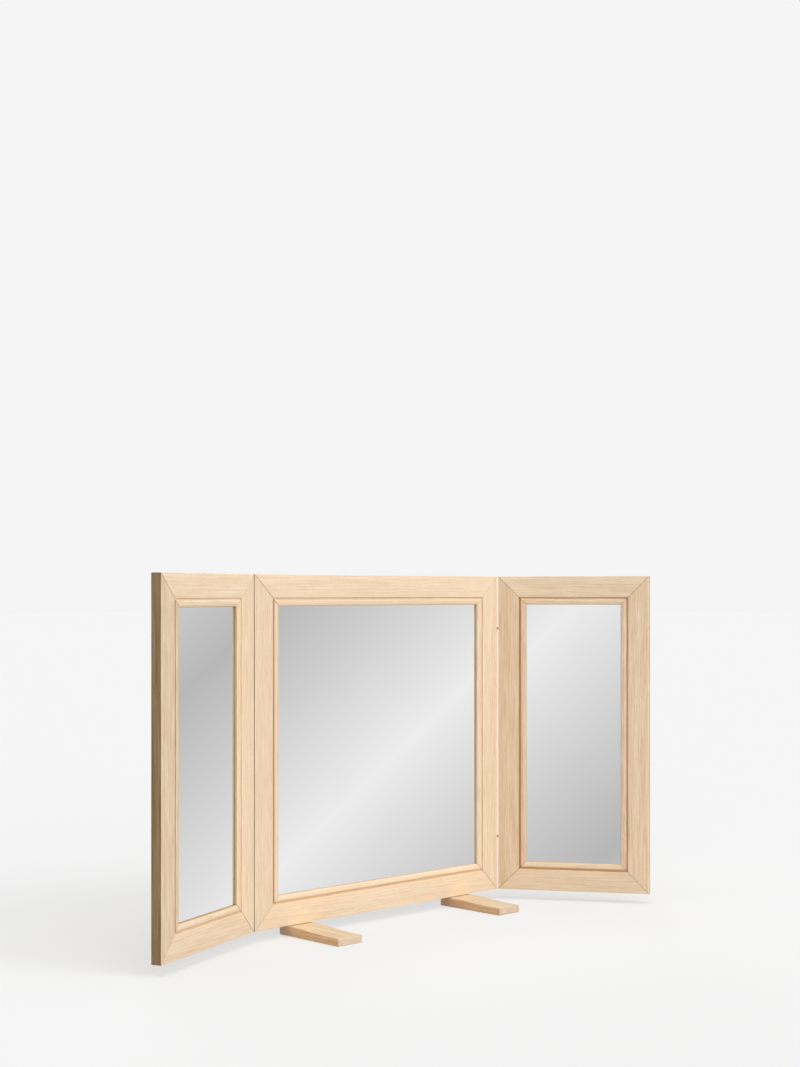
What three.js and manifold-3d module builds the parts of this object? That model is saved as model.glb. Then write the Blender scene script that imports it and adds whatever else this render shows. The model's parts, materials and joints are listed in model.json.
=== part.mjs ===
// Three-panel folding table mirror: mitred oak frames, two of them hinged wings, on two wedge feet.
// Lengths are in millimetres and angles in degrees. +X runs along the centre panel, the glass
// faces -Y and +Z is up. The origin is on the floor, under the middle of the whole outline.
import * as THREE from 'three';
import { mergeVertices } from 'three/addons/utils/BufferGeometryUtils.js';
import Module from 'manifold-3d';

const wasm = await Module();
wasm.setup();

// Panels
const panelHeight = 600;
const centreWidth = 600;
const wingWidth = 288;
const frameThickness = 18;
const leftRestAngle = 21.3;
const rightRestAngle = 56.5;

// Section of the frame members, from the outer edge inwards
const faceWidth = 39.5;
const quirkWidth = 3.5;
const quirkDepth = 2.4;
const quirkArris = 0.5;
const beadWidth = 11;
const beadCrestInset = 3;
const beadCrestDepth = 0.3;
const noseHeight = 2.8;
const arrisRadius = 0.5;

// Rebates behind the bead, and what they hold
const glassRebate = 8;
const boardRebate = 16;
const glassThickness = 4;
const linerThickness = 1.2;
const boardThickness = 4;
const backRecess = 1.9;

// Clearances
const fitGap = 0.3;
const sheetEdgeGap = 0.5;
const mitreGap = 0.3;
const cutOverrun = 1;

// Corner joints: a tenon of each rail in a mortise of the stile
const tenonThickness = 5;
const tenonWidth = 20;
const tenonStart = 14;
const tenonSetback = 10;

// Hinges
const hingeGap = 2;
const hingeEndDistance = 100;
const pivotProud = 0.5;
const cupRadius = 6;
const cupEndWall = 4;
const pinForward = 1;
const pinInset = 3;
const pinRadius = 1.2;
const pinEndInset = 1.2;
const eyeRadius = 2;
const linkWidth = 2;
const linkThickness = 2;

// Feet
const footWidth = 53;
const footInset = 76;
const footForward = 125;
const footBack = 7.5;
const seatHeight = 18;
const shoulderDrop = 0.8;
const footFlat = 24;
const footFlatEase = 22;
const toeEase = 75;
const toeHeight = 13;
const footArris = 1;

// Countersunk screws up through the feet
const footScrewSpacing = 28;
const footScrewLength = 36;
const footScrewRadius = 1.75;
const footScrewTip = 4;
const footHeadRadius = 3.8;
const footHeadCone = 2.4;
const footHeadRim = 0.6;
const footHeadSink = 1;

// Pan-head screws of the back boards
const boardScrewLength = 11;
const boardScrewRadius = 1.2;
const boardScrewTip = 2;
const boardHeadRadius = 2.9;
const boardHeadHeight = 1.4;
const boardHeadCrown = 0.2;
const boardScrewEdge = 3.7;
const crossWidth = 0.8;
const crossLength = 3.2;
const crossDepth = 0.7;

// The origin is moved onto this grid, so that flat seats keep exact places
const originGrid = 0.5;

// Counts of facets
const roundSides = 24;
const pinSides = 12;
const screwSides = 16;
const arrisSteps = 2;
const beadSteps = 5;
const footCurveSteps = 10;

// Depths behind the front face, worked out from the back
const boardBack = frameThickness - backRecess;
const boardFront = boardBack - boardThickness;
const boardSeat = boardFront - fitGap;
const linerBack = boardFront - fitGap;
const linerFront = linerBack - linerThickness;
const glassBack = linerFront - fitGap;
const glassFront = glassBack - glassThickness;
const lipSeat = glassFront - fitGap;

// Distances from the outer edge of a member
const beadStart = faceWidth + quirkWidth;
const sightEdge = beadStart + beadWidth;
const glassEdge = sightEdge - glassRebate;
const boardEdge = sightEdge - boardRebate;

// Hinge places, measured from the hinge axis with +Y to the back and +X into the centre panel
const pinX = hingeGap / 2 + pinInset;
const cupCentreY = pivotProud + frameThickness / 2;
const pinY = cupCentreY - pinForward;
const linkReach = 2 * pinY;
const linkHalf = linkWidth / 2;
const barSetback = pinInset + fitGap + linkHalf;
const slotDepth = linkReach - pinX + linkHalf - hingeGap / 2 + fitGap;
const slotHeight = 2 * linkThickness + 3 * fitGap;
const cupLength = slotDepth + cupEndWall;

const oak = new THREE.MeshStandardMaterial({ color: 0xe8cfac, roughness: 0.55, metalness: 0 });
const footOak = new THREE.MeshStandardMaterial({ color: 0xe6c9a0, roughness: 0.55, metalness: 0 });
const silver = new THREE.MeshStandardMaterial({ color: 0xdfe3e4, roughness: 0.04, metalness: 1 });
const liner = new THREE.MeshStandardMaterial({ color: 0x8a7a64, roughness: 0.95, metalness: 0 });
const plywood = new THREE.MeshStandardMaterial({ color: 0xd8bb8e, roughness: 0.75, metalness: 0 });
const brass = new THREE.MeshStandardMaterial({ color: 0x9a7440, roughness: 0.35, metalness: 1 });
const steel = new THREE.MeshStandardMaterial({ color: 0xb9b7b0, roughness: 0.35, metalness: 1 });

// Solid of a closed geometry, with its shared corners merged and its empty triangles left out
function solidOf(geometry) {
  const bare = geometry.clone();
  bare.deleteAttribute('normal');
  bare.deleteAttribute('uv');
  const merged = mergeVertices(bare);
  const index = merged.index.array;
  const kept = [];
  for (let i = 0; i < index.length; i += 3) {
    const [a, b, c] = [index[i], index[i + 1], index[i + 2]];
    if (a !== b && b !== c && c !== a) {
      kept.push(a, b, c);
    }
  }
  return new wasm.Manifold(new wasm.Mesh({
    numProp: 3,
    vertProperties: new Float32Array(merged.attributes.position.array),
    triVerts: new Uint32Array(kept),
  }));
}

function geometryOf(solid) {
  const mesh = solid.getMesh();
  const geometry = new THREE.BufferGeometry();
  geometry.setAttribute('position', new THREE.BufferAttribute(new Float32Array(mesh.vertProperties), 3));
  geometry.setIndex(new THREE.BufferAttribute(new Uint32Array(mesh.triVerts), 1));
  geometry.computeVertexNormals();
  return geometry;
}

function boxSolid(low, high) {
  const size = high.map((value, axis) => value - low[axis]);
  const box = new THREE.BoxGeometry(...size);
  box.translate(...low.map((value, axis) => value + size[axis] / 2));
  return solidOf(box);
}

// Cylinder from one point to another along X, Y or Z
function roundSolid(from, to, radius, sides) {
  const axis = from.findIndex((value, i) => value !== to[i]);
  const geometry = new THREE.CylinderGeometry(radius, radius, Math.abs(to[axis] - from[axis]), sides);
  if (axis === 0) {
    geometry.rotateZ(Math.PI / 2);
  }
  if (axis === 2) {
    geometry.rotateX(Math.PI / 2);
  }
  geometry.translate(...from.map((value, i) => (value + to[i]) / 2));
  return solidOf(geometry);
}

// Points of a quarter turn between two corners of an ellipse
function quarterTurn(centre, radii, startAngle, steps) {
  const points = [];
  for (let i = 0; i <= steps; i += 1) {
    const angle = startAngle + (i / steps) * (Math.PI / 2);
    points.push([centre[0] + radii[0] * Math.cos(angle), centre[1] + radii[1] * Math.sin(angle)]);
  }
  return points;
}

// Section of every member: distance from the outer edge, then depth behind the front face
function memberSection() {
  const crest = beadStart + beadCrestInset;
  const beadEnd = lipSeat - noseHeight;
  const outerArris = quarterTurn([arrisRadius, arrisRadius], [arrisRadius, arrisRadius], Math.PI, arrisSteps);
  const beadRise = quarterTurn(
    [crest, quirkDepth],
    [beadCrestInset, quirkDepth - beadCrestDepth],
    Math.PI,
    arrisSteps,
  );
  const beadFall = quarterTurn(
    [crest, beadEnd],
    [sightEdge - crest, beadEnd - beadCrestDepth],
    1.5 * Math.PI,
    beadSteps,
  );
  const backArris = quarterTurn(
    [arrisRadius, frameThickness - arrisRadius],
    [arrisRadius, arrisRadius],
    Math.PI / 2,
    arrisSteps,
  );
  return [
    ...outerArris,
    [faceWidth - quirkArris, 0],
    [faceWidth, quirkArris],
    [faceWidth, quirkDepth],
    ...beadRise,
    ...beadFall.slice(1),
    [sightEdge, lipSeat],
    [glassEdge, lipSeat],
    [glassEdge, boardSeat],
    [boardEdge, boardSeat],
    [boardEdge, frameThickness],
    ...backArris,
  ];
}

// One member with both ends mitred, where across, depth and along give its place in the panel
function memberSolid(length, place) {
  const outline = memberSection().map(([across, depth]) => new THREE.Vector2(across, depth));
  const geometry = new THREE.ExtrudeGeometry(new THREE.Shape(outline), {
    depth: length,
    bevelEnabled: false,
    steps: 1,
  });
  const position = geometry.attributes.position;
  const setback = mitreGap / Math.SQRT2;
  for (let i = 0; i < position.count; i += 1) {
    const across = position.getX(i);
    const along = position.getZ(i) === 0 ? across + setback : length - across - setback;
    position.setXYZ(i, ...place(across, position.getY(i), along));
  }
  return solidOf(geometry);
}

// Low and high corner of a box that has two opposite corners anywhere
function sorted(first, second) {
  const low = first.map((value, i) => Math.min(value, second[i]));
  const high = first.map((value, i) => Math.max(value, second[i]));
  return [low, high];
}

// Tenon at one end of a rail; grown by a clearance it is the mortise
function tenonSolid(place, clearance) {
  const depth = (frameThickness - tenonThickness) / 2;
  const first = place(
    tenonStart - clearance,
    depth - clearance,
    tenonSetback - clearance,
  );
  const second = place(
    tenonStart + tenonWidth + clearance,
    depth + tenonThickness + clearance,
    tenonStart + tenonWidth + clearance,
  );
  return boxSolid(...sorted(first, second));
}

// Flat sheet behind the bead, as glass, liner or board
function sheetSolid(width, edge, front, back) {
  const inset = edge + sheetEdgeGap;
  return boxSolid([inset, front, inset], [width - inset, back, panelHeight - inset]);
}

// Middles of the four sides of a back board, where its screws stand
function boardScrewPlaces(width) {
  const inset = boardEdge + boardScrewEdge;
  return {
    top: [width / 2, panelHeight - inset],
    bottom: [width / 2, inset],
    left: [inset, panelHeight / 2],
    right: [width - inset, panelHeight / 2],
  };
}

function boardScrewSolid([x, z]) {
  const seat = boardBack + fitGap;
  const top = seat + boardHeadHeight;
  const tip = boardBack - boardScrewLength;
  const reach = crossLength / 2;
  const profile = [
    [0, tip],
    [boardScrewRadius, tip + boardScrewTip],
    [boardScrewRadius, seat],
    [boardHeadRadius, seat],
    [boardHeadRadius, (seat + top) / 2],
    [(boardHeadRadius + reach) / 2, top - boardHeadCrown],
    [reach, top],
    [0, top],
  ];
  const geometry = new THREE.LatheGeometry(profile.map((p) => new THREE.Vector2(...p)), screwSides);
  geometry.translate(x, 0, z);
  const half = crossWidth / 2;
  const floor = top - crossDepth;
  return solidOf(geometry)
    .subtract(boxSolid([x - reach, floor, z - half], [x + reach, top + cutOverrun, z + half]))
    .subtract(boxSolid([x - half, floor, z - reach], [x + half, top + cutOverrun, z + reach]));
}

// Hole for a board screw's shank, through a board or blind in a member
function boardScrewHole([x, z], back) {
  const end = boardBack - boardScrewLength - fitGap;
  return roundSolid([x, end, z], [x, back, z], boardScrewRadius + fitGap, pinSides);
}

// Stands a finished solid in the scene as a named mesh
function addMesh(group, name, solid, material) {
  const mesh = new THREE.Mesh(geometryOf(solid), material);
  mesh.name = name;
  group.add(mesh);
}

// Heights of the hinges in a panel
const hingeLevels = {
  upper: panelHeight - hingeEndDistance,
  lower: hingeEndDistance,
};

// One panel, from x = 0 to its width, with hinge bores in the sides that are named
function addPanel(group, name, width, hingedSides, sideNames, footHoles) {
  const places = {
    left: (across, depth, along) => [across, depth, along],
    right: (across, depth, along) => [width - across, depth, panelHeight - along],
    bottom: (across, depth, along) => [width - along, depth, across],
    top: (across, depth, along) => [along, depth, panelHeight - across],
  };
  const farEnd = {
    left: (across, depth, along) => places.left(across, depth, panelHeight - along),
    right: (across, depth, along) => places.right(across, depth, panelHeight - along),
    bottom: (across, depth, along) => places.bottom(across, depth, width - along),
    top: (across, depth, along) => places.top(across, depth, width - along),
  };
  const members = {};
  for (const side of ['left', 'right']) {
    members[side] = memberSolid(panelHeight, places[side]);
  }
  for (const side of ['top', 'bottom']) {
    members[side] = memberSolid(width, places[side]);
    for (const ends of [places, farEnd]) {
      members[side] = members[side].add(tenonSolid(ends[side], 0));
      const mortise = tenonSolid(ends[side], fitGap);
      members.left = members.left.subtract(mortise);
      members.right = members.right.subtract(mortise);
    }
  }
  for (const side of hingedSides) {
    for (const level of Object.values(hingeLevels)) {
      const start = places[side](-cutOverrun, frameThickness / 2, level);
      const end = places[side](cupLength + fitGap, frameThickness / 2, level);
      start[2] = level;
      end[2] = level;
      members[side] = members[side].subtract(roundSolid(start, end, cupRadius + fitGap, roundSides));
    }
  }
  for (const [x, y] of footHoles) {
    const top = footHeadSink + footScrewLength - seatHeight + fitGap;
    const hole = roundSolid([x, y, -cutOverrun], [x, y, top], footScrewRadius + fitGap, pinSides);
    members.bottom = members.bottom.subtract(hole);
  }
  let board = sheetSolid(width, boardEdge, boardFront, boardBack);
  for (const [side, spot] of Object.entries(boardScrewPlaces(width))) {
    members[side] = members[side].subtract(boardScrewHole(spot, frameThickness));
    board = board.subtract(boardScrewHole(spot, frameThickness));
    addMesh(group, `${name}_${sideNames[side]}_board_screw`, boardScrewSolid(spot), steel);
  }
  for (const [side, member] of Object.entries(members)) {
    addMesh(group, `${name}_${sideNames[side]}`, member, oak);
  }
  addMesh(group, `${name}_mirror_glass`, sheetSolid(width, glassEdge, glassFront, glassBack), silver);
  addMesh(group, `${name}_liner`, sheetSolid(width, glassEdge, linerFront, linerBack), liner);
  addMesh(group, `${name}_back_board`, board, plywood);
}

// Hinge cup, with its slot and pin hole, on the side of the axis where its stile is
function cupSolid(side, level, pinRises) {
  const face = hingeGap / 2;
  const x = (value) => side * value;
  const body = roundSolid(
    [x(face), cupCentreY, level],
    [x(face + cupLength), cupCentreY, level],
    cupRadius,
    roundSides,
  );
  const half = slotHeight / 2;
  const slot = boxSolid(...sorted(
    [x(face - cutOverrun), cupCentreY - cupRadius - cutOverrun, level - half],
    [x(face + slotDepth), cupCentreY + cupRadius + cutOverrun, level + half],
  ));
  const pinHole = roundSolid(
    [x(pinX), pinY, level],
    [x(pinX), pinY, level + pinRises * (cupRadius + cutOverrun)],
    pinRadius + fitGap,
    pinSides,
  );
  return body.subtract(slot).subtract(pinHole);
}

// Hinge link seen flat, from its own pin at the origin, with its eye and the pin riveted in it
function linkSolid(side, pinRises) {
  const bar = (firstX, firstY, secondX, secondY) => boxSolid(...sorted(
    [side * firstX, firstY, pinRises * (fitGap / 2)],
    [side * secondX, secondY, pinRises * (fitGap / 2 + linkThickness)],
  ));
  const disc = (x, y, radius) => roundSolid(
    [side * x, y, pinRises * (fitGap / 2)],
    [side * x, y, pinRises * (fitGap / 2 + linkThickness)],
    radius,
    pinSides,
  );
  const pin = roundSolid(
    [0, 0, pinRises * (fitGap / 2)],
    [0, 0, pinRises * (cupRadius - pinEndInset)],
    pinRadius,
    pinSides,
  );
  return disc(0, 0, eyeRadius)
    .add(bar(-linkHalf, 0, linkHalf, barSetback))
    .add(disc(0, barSetback, linkHalf))
    .add(bar(-linkReach, barSetback - linkHalf, 0, barSetback + linkHalf))
    .add(disc(-linkReach, barSetback, linkHalf))
    .add(bar(-linkReach - linkHalf, 0, -linkReach + linkHalf, barSetback))
    .add(disc(-linkReach, 0, linkHalf))
    .add(pin);
}

// One wing with its two hinges; side is -1 at the left end of the centre panel and 1 at the right
function addWing(group, name, side, fold) {
  const turn = THREE.MathUtils.degToRad(-side * fold);
  const inward = -side;
  const axis = new THREE.Group();
  axis.position.set(side * (centreWidth + hingeGap) / 2, -pivotProud, seatHeight);
  const wing = new THREE.Group();
  wing.rotation.z = turn;
  const panel = new THREE.Group();
  panel.position.set(side > 0 ? hingeGap / 2 : -hingeGap / 2 - wingWidth, pivotProud, 0);
  const innerSide = side > 0 ? 'left' : 'right';
  const outerSide = side > 0 ? 'right' : 'left';
  const sideNames = {
    top: 'top_rail',
    bottom: 'bottom_rail',
    [innerSide]: 'inner_stile',
    [outerSide]: 'outer_stile',
  };
  addPanel(panel, `${name}_wing`, wingWidth, [innerSide], sideNames, []);
  wing.add(panel);
  for (const [level, height] of Object.entries(hingeLevels)) {
    addMesh(axis, `${name}_${level}_frame_cup`, cupSolid(inward, height, 1), brass);
    addMesh(wing, `${name}_${level}_wing_cup`, cupSolid(-inward, height, -1), brass);
    const frameLink = new THREE.Group();
    frameLink.position.set(inward * pinX, pinY, height);
    frameLink.rotation.z = turn / 2;
    addMesh(frameLink, `${name}_${level}_frame_link`, linkSolid(inward, 1), brass);
    axis.add(frameLink);
    const wingLink = new THREE.Group();
    wingLink.position.set(-inward * pinX, pinY, height);
    wingLink.rotation.z = -turn / 2;
    addMesh(wingLink, `${name}_${level}_wing_link`, linkSolid(-inward, -1), brass);
    wing.add(wingLink);
  }
  axis.add(wing);
  group.add(axis);
}

// Countersunk screw, from its recessed head in the sole up into the bottom rail
function footScrewSolid([x, y]) {
  const rim = footHeadSink + footHeadRim;
  const neck = rim + footHeadCone;
  const tip = footHeadSink + footScrewLength;
  const profile = [
    [0, footHeadSink],
    [footHeadRadius, footHeadSink],
    [footHeadRadius, rim],
    [footScrewRadius, neck],
    [footScrewRadius, tip - footScrewTip],
    [0, tip],
  ];
  const geometry = new THREE.LatheGeometry(profile.map((p) => new THREE.Vector2(...p)), screwSides);
  geometry.rotateX(Math.PI / 2);
  geometry.translate(x, y, 0);
  const half = crossWidth / 2;
  const reach = crossLength / 2;
  const floor = footHeadSink + crossDepth;
  const bottom = footHeadSink - cutOverrun;
  return solidOf(geometry)
    .subtract(boxSolid([x - reach, y - half, bottom], [x + reach, y + half, floor]))
    .subtract(boxSolid([x - half, y - reach, bottom], [x + half, y + reach, floor]));
}

// Bore for a foot screw: shank hole, countersink and the way in for the head
function footScrewBore([x, y]) {
  const rim = footHeadSink + footHeadRim;
  const neck = rim + footHeadCone;
  const profile = [
    [0, -cutOverrun],
    [footHeadRadius + fitGap, -cutOverrun],
    [footHeadRadius + fitGap, rim + fitGap / 2],
    [footScrewRadius + fitGap, neck + fitGap / 2],
    [footScrewRadius + fitGap, seatHeight + cutOverrun],
    [0, seatHeight + cutOverrun],
  ];
  const geometry = new THREE.LatheGeometry(profile.map((p) => new THREE.Vector2(...p)), screwSides);
  geometry.rotateX(Math.PI / 2);
  geometry.translate(x, y, 0);
  return solidOf(geometry);
}

// Wedge foot: its seat under the frame, a small shoulder, a flat that the shut wings clear, and
// a top that eases down to the toe
function footSolid(x, screws) {
  const back = frameThickness + footBack;
  const toe = -footForward + footArris;
  const shoulder = seatHeight - shoulderDrop;
  const shape = new THREE.Shape();
  shape.moveTo(toe, 0);
  shape.lineTo(back - footArris, 0);
  shape.lineTo(back, footArris);
  shape.lineTo(back, seatHeight - footArris);
  shape.lineTo(back - footArris, seatHeight);
  shape.lineTo(0, seatHeight);
  shape.lineTo(0, shoulder);
  shape.lineTo(-footFlat, shoulder);
  shape.bezierCurveTo(-footFlat - footFlatEase, shoulder, toe + toeEase, toeHeight, toe, toeHeight);
  shape.lineTo(-footForward, toeHeight - footArris);
  shape.lineTo(-footForward, footArris);
  const geometry = new THREE.ExtrudeGeometry(shape, {
    depth: footWidth,
    bevelEnabled: false,
    steps: 1,
    curveSegments: footCurveSteps,
  });
  const position = geometry.attributes.position;
  for (let i = 0; i < position.count; i += 1) {
    const [y, z, across] = [position.getX(i), position.getY(i), position.getZ(i)];
    position.setXYZ(i, x - footWidth / 2 + across, y, z);
  }
  return screws.reduce((foot, spot) => foot.subtract(footScrewBore(spot)), solidOf(geometry));
}

const station = new THREE.Group();

const footCentres = {
  left: -centreWidth / 2 + footInset + footWidth / 2,
  right: centreWidth / 2 - footInset - footWidth / 2,
};
const footHoles = [];
for (const [side, x] of Object.entries(footCentres)) {
  const spots = [x - footScrewSpacing / 2, x + footScrewSpacing / 2].map((value) => [value, frameThickness / 2]);
  addMesh(station, `${side}_foot`, footSolid(x, spots), footOak);
  spots.forEach((spot, i) => {
    addMesh(station, `${side}_foot_screw_${i + 1}`, footScrewSolid(spot), steel);
    footHoles.push([spot[0] + centreWidth / 2, spot[1]]);
  });
}

const centrePanel = new THREE.Group();
centrePanel.position.set(-centreWidth / 2, 0, seatHeight);
const centreSideNames = {
  top: 'top_rail',
  bottom: 'bottom_rail',
  left: 'left_stile',
  right: 'right_stile',
};
addPanel(centrePanel, 'centre', centreWidth, ['left', 'right'], centreSideNames, footHoles);
station.add(centrePanel);

addWing(station, 'left', -1, leftRestAngle);
addWing(station, 'right', 1, rightRestAngle);

// Origin under the middle of the outline, on the grid
const outline = new THREE.Box3().setFromObject(station, true);
const middle = outline.getCenter(new THREE.Vector3());
const onGrid = (value) => Math.round(value / originGrid) * originGrid;
station.position.set(-onGrid(middle.x), -onGrid(middle.y), 0);

export default station;
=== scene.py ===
import json
import random
from math import cos, pi, radians, sin, sqrt

import bmesh
import bpy
from mathutils import Matrix, Vector


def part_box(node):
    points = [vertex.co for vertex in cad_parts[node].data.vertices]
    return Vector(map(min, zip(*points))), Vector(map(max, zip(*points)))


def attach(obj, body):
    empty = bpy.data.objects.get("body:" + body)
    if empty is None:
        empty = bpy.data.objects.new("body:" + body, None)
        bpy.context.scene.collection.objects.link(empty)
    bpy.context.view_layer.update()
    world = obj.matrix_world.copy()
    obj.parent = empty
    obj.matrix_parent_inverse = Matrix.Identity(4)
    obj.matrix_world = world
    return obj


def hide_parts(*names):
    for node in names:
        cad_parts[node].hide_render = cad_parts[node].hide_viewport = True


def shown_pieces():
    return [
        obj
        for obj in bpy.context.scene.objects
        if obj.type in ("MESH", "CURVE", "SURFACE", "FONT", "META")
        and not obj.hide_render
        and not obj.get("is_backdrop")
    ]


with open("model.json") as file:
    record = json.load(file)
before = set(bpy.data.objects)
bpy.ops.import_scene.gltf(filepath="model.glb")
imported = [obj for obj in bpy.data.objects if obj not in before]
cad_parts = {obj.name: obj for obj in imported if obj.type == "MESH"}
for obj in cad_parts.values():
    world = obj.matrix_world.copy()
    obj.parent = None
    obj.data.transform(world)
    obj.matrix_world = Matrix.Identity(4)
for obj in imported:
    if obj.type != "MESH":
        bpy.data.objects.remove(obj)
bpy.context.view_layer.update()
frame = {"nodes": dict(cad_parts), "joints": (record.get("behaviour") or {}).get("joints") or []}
scene = bpy.context.scene
jointNamed = {joint["name"]: joint for joint in frame["joints"]}
print("frame loaded,", len(frame["nodes"]), "CAD nodes")


# Camera: level, in front of the left wing, with its picture shifted up a little
cameraSettings = {
    "place": (-2.0906, -2.1339, 0.5885),
    "heading": 44.21,  # degrees from the back, towards the right
    "lens": 58.13,  # millimetres, as the sensor is
    "sensor": 36,
    "shiftUp": 0.0546,
}


def addObject(name, data):
    item = bpy.data.objects.new(name, data)
    scene.collection.objects.link(item)
    return item


def addCamera(s):
    lens = bpy.data.cameras.new("tableCamera")
    lens.lens = s["lens"]
    lens.sensor_width = s["sensor"]
    lens.shift_y = s["shiftUp"]
    scene.camera = addObject("tableCamera", lens)
    scene.camera.location = s["place"]
    scene.camera.rotation_euler = (radians(90), 0, radians(-s["heading"]))


addCamera(cameraSettings)
print("camera placed")


# Node helpers, for shaders and for Geometry Nodes

def addNode(tree, kind, values=None, settings=None):  # values by the name or the place of an input
    node = tree.nodes.new(kind)
    for name, setting in (settings or {}).items():
        setattr(node, name, setting)
    for name, value in (values or {}).items():
        if isinstance(value, bpy.types.NodeSocket):
            tree.links.new(value, node.inputs[name])
        else:
            node.inputs[name].default_value = value
    return node


def addMath(tree, operation, *values):
    return addNode(tree, "ShaderNodeMath", dict(enumerate(values)), {"operation": operation}).outputs[0]


def multiply(tree, first, second):
    return addMath(tree, "MULTIPLY", first, second)


def sumUp(tree, total, *terms):  # each term is a value and its scale
    for value, scale in terms:
        total = addMath(tree, "MULTIPLY_ADD", value, scale, total)
    return total


def addRange(tree, value, fromLow, fromHigh, toLow=0.0, toHigh=1.0):
    names = ("Value", "From Min", "From Max", "To Min", "To Max")
    values = dict(zip(names, (value, fromLow, fromHigh, toLow, toHigh)))
    return addNode(tree, "ShaderNodeMapRange", values, {"interpolation_type": "SMOOTHSTEP"}).outputs["Result"]


def addFall(tree, value, span):  # from 1 down to 0
    return addRange(tree, value, *span, 1.0, 0.0)


def addBand(tree, value, start, end):  # rises over start and falls over end
    return multiply(tree, addRange(tree, value, *start), addFall(tree, value, end))


def addMix(tree, factor, first, second, blend="MIX"):
    values = {0: factor, 6: first, 7: second}  # the node's factor and its two colours
    return addNode(tree, "ShaderNodeMix", values, {"data_type": "RGBA", "blend_type": blend}).outputs[2]


# lays on real tints and painted shade and highlight alike
def multiplyTint(tree, color, tint, share, *others):  # as strong as all the shares multiplied
    for other in others:
        share = multiply(tree, share, other)
    return addMix(tree, share, color, tint, "MULTIPLY")


def addNoise(tree, vector, stretch, detail=2.0, roughness=0.5):
    mapping = addNode(tree, "ShaderNodeMapping", {"Vector": vector, "Scale": stretch})
    values = {"Vector": mapping.outputs["Vector"], "Scale": 1.0, "Detail": detail, "Roughness": roughness}
    return addNode(tree, "ShaderNodeTexNoise", values).outputs["Fac"]


def noiseTone(tree, vector, s, mark, detail=2.0, roughness=0.5):  # noise, spread between two of its levels
    return addRange(tree, addNoise(tree, vector, s[mark + "Stretch"], detail, roughness), *s[mark + "Range"])


def splitVector(tree, vector):
    return addNode(tree, "ShaderNodeSeparateXYZ", {"Vector": vector}).outputs[:]


def newGroup(name, kind, inputs, outputs):  # inputs and outputs give the kind of each socket
    tree = bpy.data.node_groups.new(name, kind)
    for direction, sockets in (("INPUT", inputs), ("OUTPUT", outputs)):
        for socket, socketKind in sockets.items():
            tree.interface.new_socket(socket, in_out=direction, socket_type="NodeSocket" + socketKind)
    return tree, tree.nodes.new("NodeGroupInput").outputs, tree.nodes.new("NodeGroupOutput").inputs


def placeGroup(tree, group, values):
    return addNode(tree, "ShaderNodeGroup", values, {"node_tree": group}).outputs


def endTree(tree, geometry, material, result):
    plain = addNode(tree, "GeometryNodeRealizeInstances", {"Geometry": geometry}).outputs["Geometry"]
    painted = addNode(tree, "GeometryNodeSetMaterial", {"Geometry": plain, "Material": material})
    tree.links.new(painted.outputs["Geometry"], result["Geometry"])
    return tree


def newMaterial(name):
    material = bpy.data.materials.new(name)
    material.use_nodes = True
    return material, material.node_tree


def endMaterial(material, color, roughness, height=None, depth=0, metallic=0.0):  # depth in metres
    tree = material.node_tree
    shader = tree.nodes["Principled BSDF"].inputs
    tree.links.new(color, shader["Base Color"])
    tree.links.new(roughness, shader["Roughness"])
    shader["Metallic"].default_value = metallic
    if height:
        bump = addNode(tree, "ShaderNodeBump", {"Height": height, "Distance": depth})
        tree.links.new(bump.outputs["Normal"], shader["Normal"])
    return material


def readAttribute(tree, name):
    return addNode(tree, "ShaderNodeAttribute", settings={"attribute_name": name}).outputs["Vector"]


def readParts(tree, name):
    return splitVector(tree, readAttribute(tree, name))


def readPlace(tree):
    return addNode(tree, "ShaderNodeTexCoord").outputs["Object"]


# Shader groups that several materials share

finishOutputs = {"Color": "Color", "Roughness": "Float", "Height": "Float"}


def endFinish(tree, result, color, roughness, height):
    for name, value in zip(finishOutputs, (color, roughness, height)):
        tree.links.new(value, result[name])
    return tree


woodFigureSettings = {  # stretches are noise scales: twice across the grain, then along it
    "wanderStretch": (9, 9, 2.2),
    "wander": 0.022,  # how far the rings stray, in metres
    "swayStretch": (45, 45, 6),
    "sway": 0.0022,
    "seasonRate": 0.43,  # good and bad years, against the count of rings
    "seasonRange": (0.36, 0.64),
    "earlyWoodStart": (0.0, 0.12),
    "earlyWoodEnd": (0.25, 0.75),
    "earlyWoodShare": 0.42,
    "fibreStretch": (400, 400, 20),
    "fibreRange": (0.34, 0.66),
    "poreStretch": (2600, 2600, 110),
    "poreRange": (0.56, 0.66),
    "lateWoodPores": 0.25,  # how far pores show outside the early wood
    "mottleStretch": (28, 28, 5),
    "mottleRange": (0.3, 0.7),
    "roughness": 0.5,
    "ringRoughness": 0.1,
    "poreRoughness": 0.2,
    "earlyWoodHollow": 0.35,  # against the depth of a pore
    "fibreHollow": 0.3,
}


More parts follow.
